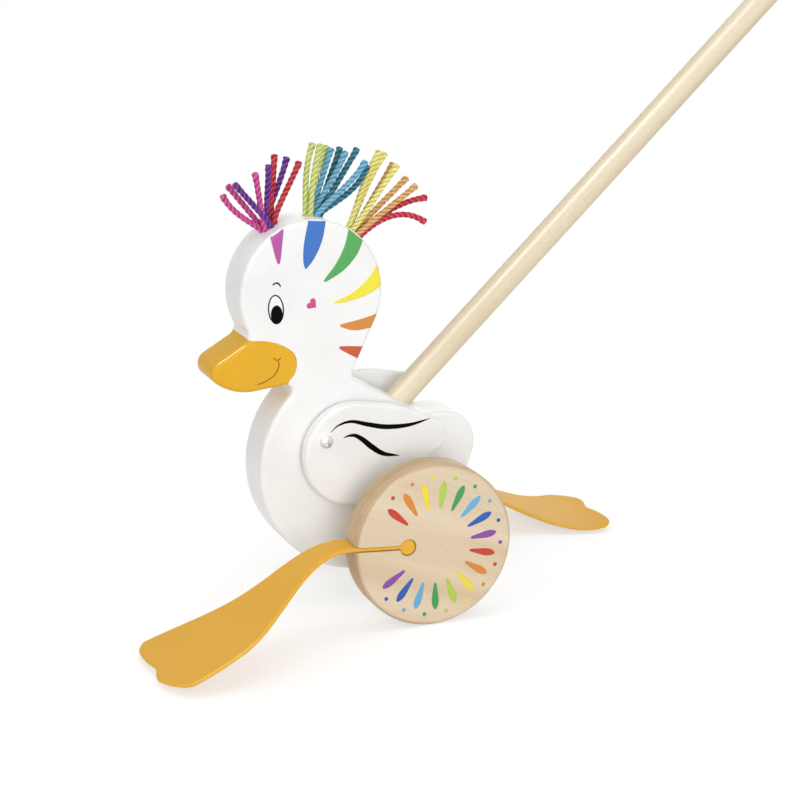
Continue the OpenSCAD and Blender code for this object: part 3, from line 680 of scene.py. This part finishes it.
ray_tones = {
    "red": (200, 72, 56), "orange": (220, 138, 66), "yellow": (240, 216, 76), "lime": (176, 206, 84),
    "green": (70, 158, 88), "sky": (108, 172, 216), "blue": (52, 96, 178), "violet": (140, 80, 166),
}
ray_step, ray_first, last_dot = 19.0, 37.5, 320.0
ray_reach, ray_wide, dot_reach, dot_r = (17.5, 23.0, 30.5), 3.4, 32.4, 0.95
ray_inks = {colour: ink("ink_ray_" + colour, tone) for colour, tone in ray_tones.items()}
for side, label in ((1, "left"), (-1, "right")):
    wheel = mesh_piece("wheel_disc_" + label, at_wheel(disc, side), ring_shell(disc), crease=40)
    far_out = np.hypot(disc[..., 0], disc[..., 2]).ravel()
    rim_share = np.clip((far_out - wheel_r + streak_in) / streak_fade, 0, 1)
    rim_layer = wheel.data.attributes.new("rim", "FLOAT", "POINT")
    rim_layer.data.foreach_set("value", rim_share.astype(np.float32))
    fit(wheel, wheel_wood, "wheel_set", "wheel_" + label, slot="beech")
    for k, colour in enumerate(ray_tones):
        angles = ray_first + ray_step * np.array([k, k + len(ray_tones)])
        rays = [ribbon([reach * polar(a) for reach in ray_reach], ray_wide, 0.55, 0.7, 40) for a in angles]
        dots = [oval(dot_reach * polar(a + ray_step / 2), dot_r, dot_r, count=32) for a in angles if a < last_dot]
        shapes = [at_wheel(on_wheel(flat), side) for flat in rays + dots]
        film(f"wheel_print_{colour}_{label}", shapes, (0, side, 0), "wheel_set", ray_inks[colour])

# Feet.
# Each foot is one soft rubber moulding: a bead in the wheel's keyhole, a neck in the slot, and a
# paddle that droops to the floor and ends in two rounded toes.
foot_thick, bead_r, bead_edge, bead_steps = 1.8, 3.7, 0.8, 48
least_half, bend_before, bend_after = 0.004, 1.0, 14.0
foot_len, foot_side, toe_slant, toe_power = 104.0, 92.0, 3.0, 3.5
foot_in_y, foot_root, flex_r = 36.95, 15.0, 39.2
foot_out, foot_out_len, foot_bow, bow_share, foot_in = 40.5, 71.0, 10.5, 0.93, 2.8
notch_depth, notch_at, notch_w = 1.0, 0.5, 0.08
outer_toe, outer_toe_at, outer_toe_w = 3.0, 0.72, 0.16


def ease(t):
    """Smooth step from 0 to 1."""
    t = np.clip(t, 0, 1)
    return t * t * (3 - 2 * t)


def rubber(name, tone):
    """Soft moulded rubber: faint mottling and a fine satin skin."""
    material, tree, shader, place = blank_material(name)
    cloud = noise(tree, place, 26.0, 4.0)
    grain = noise(tree, place, 900.0, 2.0)
    colour = blend_colours(tree, cloud, srgb(*tone), srgb(*(0.95 * np.array(tone))))
    bump = add(tree, "Bump", links={"Height": grain}, Strength=0.2, Distance=0.00005)
    tree.links.new(colour, shader.inputs["Base Color"])
    tree.links.new(ramp(tree, cloud, 0.0, 1.0, 0.45, 0.6), shader.inputs["Roughness"])
    tree.links.new(bump.outputs["Normal"], shader.inputs["Normal"])
    shader.inputs["Specular IOR Level"].default_value = 0.18
    return material


foot_rubber = rubber("foot_rubber", (234, 178, 60))


def foot(side, root_droop, middle_droop, tip_droop):
    """Sheet over (length share u, width share q). Its slope below level is root (1-t)^2 + 4 middle t(1-t)
    + tip t^2 along the foot, the slope's integral gives reach and height, and every edge is rounded."""
    label = "left" if side > 0 else "right"
    across = 0.5 - 0.5 * np.cos(np.linspace(0, np.pi, 81))
    u, q = np.meshgrid(np.linspace(0, 1, 130) ** 0.96, across, indexing="ij")
    toe = foot_side + toe_slant * (1 - 2 * q) - notch_depth * np.exp(-(((q - notch_at) / notch_w) ** 2))
    toe = toe + outer_toe * np.exp(-(((q - outer_toe_at) / outer_toe_w) ** 2))
    toe = toe + (foot_len - foot_side) * np.clip(1 - np.abs(2 * q - 1) ** toe_power, 0, 1) ** (1 / toe_power)
    neck = flex_r - key_x
    s = -neck + u * (toe + neck)
    inner = foot_in_y + foot_bow * np.sin(np.pi * np.clip(s / (bow_share * foot_len), 0, 1)) ** 2
    inner = inner - foot_in * ease(2 * s / foot_len - 1)
    outer = foot_in_y + foot_root + foot_out * ease(s / foot_out_len)
    t = np.linspace(-0.4, 1.1, 1501)
    start = -side * wheel_turn
    droop = root_droop * (1 - t) ** 2 + 4 * middle_droop * t * (1 - t) + tip_droop * t**2
    slope = np.radians(start + (droop - start) * ease((t + 0.01) / 0.05))
    dt = (t[1] - t[0]) * foot_len
    reach, height = np.cumsum(np.cos(slope) * dt), np.cumsum(-np.sin(slope) * dt)
    at_rim = np.searchsorted(t, 0.0)
    x = np.interp(s / foot_len, t, reach - reach[at_rim])
    z = np.interp(s / foot_len, t, height - height[at_rim])
    bend = np.interp(s / foot_len, t, slope)
    y = inner + q * (outer - inner)
    to_edge = np.minimum(np.minimum(q, 1 - q) * (outer - inner), (1 - u) * (toe + neck)) / (0.5 * foot_thick)
    half = np.maximum(0.5 * foot_thick * np.sqrt(1 - (1 - np.clip(to_edge, 0, 1)) ** 2), least_half)
    top, under = (np.stack([x + f * half * np.sin(bend), y, z + f * half * np.cos(bend)], -1) for f in (1, -1))
    rows, columns = u.shape
    n = u.size
    top_faces = grid_faces(rows, columns)
    under_faces = [[n + k for k in f[::-1]] for f in top_faces]
    index = np.arange(n).reshape(rows, columns)
    loop = np.r_[index[0, :-1], index[:-1, -1], index[-1, :0:-1], index[:0:-1, 0]]
    after = np.roll(loop, -1)
    edge_faces = np.stack([after, loop, loop + n, after + n], -1).tolist()
    # Bead in the keyhole: a turned roll across the wheel, with softly rounded ends.
    roll = np.vstack([[(0.0, 0.0)], quarter_round(bead_r, 0.0, bead_edge, -1, 8),
                      quarter_round(bead_r, foot_root, bead_edge, 1, 8)[::-1], [(0.0, foot_root)]])
    a = np.linspace(0, 2 * np.pi, bead_steps, endpoint=False)
    ring = np.stack([np.cos(a), 0 * a, np.sin(a)], -1)
    bead = roll[:, :1, None] * ring + (roll[:, 1:] * [[0.0, 1.0, 0.0]])[:, None]
    bead = bead + [-neck * np.cos(np.radians(start)), foot_in_y, neck * np.sin(np.radians(start))]
    bead_faces = [[2 * n + k for k in f] for f in grid_faces(len(roll), bead_steps, round_columns=True)]
    lean = np.radians(wheel_turn)
    way = side * np.array([np.cos(lean), 0.0, np.sin(lean)])
    root = flex_r * way + [0.0, 0.0, axle_at[1]]
    points = np.concatenate([p.reshape(-1, 3) for p in (top, under, bead)]) * [side, side, 1] + root
    piece = close_up(mesh_piece("paddle_foot_" + label, points, top_faces + under_faces + edge_faces + bead_faces))
    piece.data.materials.append(foot_rubber)
    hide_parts("foot_" + label, f"foot_{label}_bead")
    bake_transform(piece)


foot(1, -4.0, 27.0, 14.0)
foot(-1, 9.0, 30.0, -16.0)

# Yarn hair.
# Three tufts of thick twisted cotton yarn are glued into holes in the top of the head. Each tuft
# has eight or nine strands of three colours that spread apart as they rise.
yarn_r, yarn_pitch, yarn_plies, hole_depth = 1.4, 8.0, 3, 12.0
leave_share, arrive_share, bow_gain = 0.12, 0.62, 2.6
tip_round, tip_open, tip_swell = 0.8, 6.0, 0.22
ring_count, ring_gap = 7, 0.2
ring_r = (2 * yarn_r + ring_gap) / (2 * np.sin(np.pi / ring_count))

# Yarn fibres: three plies that wind round each other, with painted shade where they meet and a painted highlight
# along each ply's crest, and fine threads along each, read from the strand's own map.
yarn_fibre_and_painted_ply_shading, given, made = node_group(
    "yarn_fibre_and_painted_ply_shading",
    [("Run", "Vector"), ("Colour", "Color"), ("Deep", "Color"), ("Pale", "Color")],
    [("Colour", "Color"), ("Height", "Float")],
)
run, deep, pale = given.outputs["Run"], given.outputs["Deep"], given.outputs["Pale"]
threads = noise(yarn_fibre_and_painted_ply_shading, scaled(yarn_fibre_and_painted_ply_shading, run, 3.0, 26.0, 1.0), 1.0, 3.0)
dye = noise(yarn_fibre_and_painted_ply_shading, run, 1.6, 2.0)
turn = add(yarn_fibre_and_painted_ply_shading, "SeparateXYZ", links={0: run}).outputs["Y"]
ply = add(yarn_fibre_and_painted_ply_shading, "Math", {"operation": "MULTIPLY"}, {0: turn})
ply.inputs[1].default_value = yarn_plies * np.pi
for operation in ("COSINE", "ABSOLUTE"):
    ply = add(yarn_fibre_and_painted_ply_shading, "Math", {"operation": operation}, {0: ply.outputs[0]})
ply = ply.outputs[0]
tone = blend_colours(yarn_fibre_and_painted_ply_shading, ramp(yarn_fibre_and_painted_ply_shading, threads, 0.3, 0.7, 0.35), deep, given.outputs["Colour"])
# Painted shade in the grooves where the plies meet.
tone = blend_colours(yarn_fibre_and_painted_ply_shading, ramp(yarn_fibre_and_painted_ply_shading, ply, 0.1, 0.6), deep, tone)
# Painted highlight along the crest of each ply.
tone = blend_colours(yarn_fibre_and_painted_ply_shading, ramp(yarn_fibre_and_painted_ply_shading, ply, 0.72, 1.0, 0.0, 0.55), tone, pale)
tone = blend_colours(yarn_fibre_and_painted_ply_shading, ramp(yarn_fibre_and_painted_ply_shading, dye, 0.4, 0.8, 0.0, 0.3), tone, pale)
yarn_fibre_and_painted_ply_shading.links.new(tone, made.inputs["Colour"])
yarn_fibre_and_painted_ply_shading.links.new(threads, made.inputs["Height"])


def yarn(name, tone):
    """Dyed cotton yarn: fine threads of darker tint, painted shade between the plies, a painted highlight where they
    stand out, and a soft sheen.
    """
    material, tree, shader, _ = blank_material(name)
    fibre = tree.nodes.new("ShaderNodeGroup")
    fibre.node_tree = yarn_fibre_and_painted_ply_shading
    tree.links.new(add(tree, "UVMap", {"uv_map": "run"}).outputs["UV"], fibre.inputs["Run"])
    tone = np.array(tone, float)
    fibre.inputs["Colour"].default_value = srgb(*tone)
    # Deep colours the darker threads and the painted shade between plies; Pale colours the dye streaks and the
    # painted highlight on ply crests.
    fibre.inputs["Deep"].default_value = srgb(*(0.72 * tone))
    fibre.inputs["Pale"].default_value = srgb(*(tone + 0.3 * (255 - tone)))
    bump = add(tree, "Bump", links={"Height": fibre.outputs["Height"]}, Strength=0.6, Distance=0.0003)
    tree.links.new(fibre.outputs["Colour"], shader.inputs["Base Color"])
    tree.links.new(bump.outputs["Normal"], shader.inputs["Normal"])
    shader.inputs["Roughness"].default_value = 0.85
    shader.inputs["Sheen Weight"].default_value = 0.15
    shader.inputs["Specular IOR Level"].default_value = 0.15
    return material


def strand(start, out, tip, bow):
    """Three-ply strand: straight along its hole, then a cubic curve to its tip that bows forwards by about
    bow. The radius swells in three winding lobes, opens a little at the cut tip, and closes at both ends."""
    t = np.linspace(0, 1, 150)[:, None]
    chord = tip - start
    forwards = np.array([chord[2], 0.0, -chord[0]]) / np.hypot(chord[0], chord[2])
    leave = start + leave_share * np.linalg.norm(chord) * out
    arrive = start + arrive_share * chord + bow_gain * bow * forwards
    free = (1 - t) ** 3 * start + 3 * t * (1 - t) ** 2 * leave + 3 * t**2 * (1 - t) * arrive + t**3 * tip
    line = np.concatenate([start + np.linspace(0.2 - hole_depth, -0.2, 12)[:, None] * out, free])
    s = np.r_[0, np.cumsum(np.linalg.norm(np.diff(line, axis=0), axis=1))]
    ahead = np.gradient(line, s, axis=0)
    ahead /= np.linalg.norm(ahead, axis=1)[:, None]
    one = np.cross(ahead, [0.0, 1.0, 0.0])
    one /= np.linalg.norm(one, axis=1)[:, None]
    two = np.cross(ahead, one)
    a = np.linspace(0, 2 * np.pi, 31)
    winding = a - 2 * np.pi * s[:, None] / yarn_pitch
    lobes = 0.7 + 0.3 * np.abs(np.cos(0.5 * yarn_plies * winding)) ** 0.75
    left = s[-1] - s
    closing = np.sqrt(1 - np.clip(1 - left / tip_round, 0, 1) ** 2) * np.where(s < s[1], 0.0, 1.0)
    r = yarn_r * lobes * (closing * (1 + tip_swell * ease(1 - left / tip_open)))[:, None]
    points = line[:, None] + r[..., None] * (np.cos(a)[:, None] * one[:, None] + np.sin(a)[:, None] * two[:, None])
    run = np.stack([np.broadcast_to(s[:, None] / 10.0, r.shape), a / (2 * np.pi) - s[:, None] / yarn_pitch], -1)
    return points, run


# Each tuft: direction of its hole from the head's middle, colours, and for each strand its tip from the hole's
# mouth (forwards, left, up) and its bow. Strands 0 to 6 stand in a ring from the front, strand 7 in its middle,
# and strand 8 at the back.
tufts = {
    "front": (61.0, {"pink": (216, 66, 152), "purple": (100, 26, 136), "red": (202, 32, 48)}, [
        (21.6, 2, 16.3, 1.6), (7.4, 5, 25.8, 0.0), (17.4, 6, 21.6, 0.0), (-14.9, 1, 28.9, 0.0),
        (-5.5, -6, 31.6, 0.0), (-10.3, -3, 30.6, -0.4), (17.5, -4, 19.4, 0.0), (0.3, 3, 28.6, 0.0)]),
    "middle": (98.0, {"lime": (220, 230, 128), "blue": (104, 178, 214), "teal": (40, 114, 138)}, [
        (-0.3, 1, 32.9, 1.4), (-2.5, 5, 32.9, 0.9), (-23.5, 6, 24.3, -1.3), (-22.6, -2, 28.8, 0.0),
        (-15.8, -6, 29.1, 0.0), (-9.7, -1, 29.8, 0.0), (-9.3, -5, 30.3, 0.5), (-15.5, 2, 28.5, -0.7),
        (-25.3, 3, 21.8, -2.8)]),
    "rear": (135.0, {"yellow": (250, 240, 130), "orange": (232, 174, 96), "red": (208, 38, 60)}, [
        (-12.8, 2, 37.2, 1.2), (-19.7, 6, 31.1, 0.0), (-31.1, 1, 20.2, 0.0), (-34.2, 4, 3.1, 5.2),
        (-37.0, -1, 13.6, 2.6), (-22.5, -6, 29.9, 0.0), (-17.4, -3, 35.4, 1.0), (-27.6, -2, 23.6, 0.0)]),
}
strands_of_colour = ((0, 1, 6), (2, 5, 7), (3, 4, 8))
ring_angles = 360 * np.arange(ring_count) / ring_count
seats = ring_r * np.vstack([polar(ring_angles), [(0.0, 0.0), (-1.0, 0.0)]])
for tuft, (angle, colours, tips) in tufts.items():
    hole_way = polar(angle)
    out, to_face = np.array([hole_way[0], 0.0, hole_way[1]]), np.array([hole_way[1], 0.0, -hole_way[0]])
    hole_mouth = np.array([head_at[0], 0.0, head_at[1]]) + head_r * out
    for (colour, tone), members in zip(colours.items(), strands_of_colour):
        made_strands = []
        for k in members:
            if k < len(tips):
                start = hole_mouth + seats[k, 0] * to_face + [0.0, seats[k, 1], 0.0]
                made_strands.append(strand(start, out, hole_mouth + tips[k][:3], tips[k][3]))
        points, run = (np.stack(part) for part in zip(*made_strands))
        count, rows, columns = points.shape[:3]
        faces = [[n * rows * columns + k for k in f] for n in range(count) for f in grid_faces(rows, columns)]
        name = f"{tuft}_{colour}"
        piece = close_up(mesh_piece("yarn_" + name, points, faces, uv=run))
        fit(piece, yarn("yarn_" + name, tone), "duck", "hair_" + name, slot="hair_" + name)

# Studio.
# A pale floor that keeps the shadow and fades into a white surround, four large soft lamps, and a small
# one that shows only in the gloss of rounded edges. Its sizes are in metres.
floor_half, fade_start, fade_end = 1.2, 0.30, 0.75
floor_glow, sky_light, backdrop_light = 0.6, 0.58, 1.0
white = (1.0, 1.0, 1.0, 1.0)
lamp_aim = Vector((0.02, 0.0, 0.1))
floor_mesh = bpy.data.meshes.new("studio_floor")
floor_corners = floor_half * np.array([(-1, -1, 0), (1, -1, 0), (1, 1, 0), (-1, 1, 0)])
floor_mesh.from_pydata(floor_corners.tolist(), [], [(0, 1, 2, 3)])
floor = bpy.data.objects.new("studio_floor", floor_mesh)
bpy.context.scene.collection.objects.link(floor)
floor_finish, tree, shader, place = blank_material("studio_pale")
shader.inputs["Base Color"].default_value = (0.9, 0.9, 0.9, 1.0)
shader.inputs["Roughness"].default_value = 0.9
shader.inputs["Specular IOR Level"].default_value = 0.0
shade = add(tree, "BsdfDiffuse", Color=(0.5, 0.5, 0.5, 1.0))
glow = add(tree, "Emission", Color=white, Strength=floor_glow)
shown = add(tree, "AddShader", links={0: shade.outputs[0], 1: glow.outputs[0]})


def background_rays(tree):
    """1 for the rays by which the background is seen: straight, in a reflection or through something clear."""
    path = tree.nodes.new("ShaderNodeLightPath")
    seen = path.outputs["Is Camera Ray"]
    for ray in ("Is Glossy Ray", "Is Transmission Ray"):
        seen = add(tree, "Math", {"operation": "MAXIMUM"}, {0: seen, 1: path.outputs[ray]}).outputs[0]
    return seen


ground = add(tree, "MixShader", links={0: background_rays(tree), 1: shader.outputs[0], 2: shown.outputs[0]})
far = add(tree, "VectorMath", {"operation": "LENGTH"}, {0: place}).outputs["Value"]
clear = add(tree, "BsdfTransparent")
fade = ramp(tree, far, fade_start, fade_end)
faded = add(tree, "MixShader", links={0: fade, 1: ground.outputs[0], 2: clear.outputs[0]})
tree.links.new(faded.outputs[0], tree.nodes["Material Output"].inputs["Surface"])
floor_mesh.materials.append(floor_finish)

world = bpy.context.scene.world or bpy.data.worlds.new("studio")
bpy.context.scene.world = world
world.use_nodes = True
tree = world.node_tree
tree.nodes.clear()
sky = add(tree, "Background", Color=white, Strength=sky_light)
backdrop = add(tree, "Background", Color=white, Strength=backdrop_light)
mixed = add(tree, "MixShader", links={0: background_rays(tree), 1: sky.outputs[0], 2: backdrop.outputs[0]})
tree.links.new(mixed.outputs[0], tree.nodes.new("ShaderNodeOutputWorld").inputs["Surface"])

for name, place, size, power in (
    ("key_lamp", (0.15, 1.75, 0.4), 1.1, 12.2),
    ("fill_lamp", (1.2, 0.5, 0.85), 1.1, 3.0),
    ("top_lamp", (-0.2, 0.1, 1.6), 1.2, 4.0),
    ("back_lamp", (-0.6, -1.5, 0.5), 1.0, 3.5),
    ("gloss_lamp", (0.63, 0.67, 1.44), 0.3, 55.0),
):
    lamp = bpy.data.lights.new(name, "AREA")
    lamp.shape, lamp.size, lamp.energy = "DISK", size, power
    lamp_object = bpy.data.objects.new(name, lamp)
    lamp_object.location = place
    lamp_object.rotation_euler = (lamp_aim - Vector(place)).to_track_quat("-Z", "Y").to_euler()
    lamp_object.visible_diffuse = name != "gloss_lamp"
    bpy.context.scene.collection.objects.link(lamp_object)

bpy.context.scene.view_settings.view_transform = "Standard"
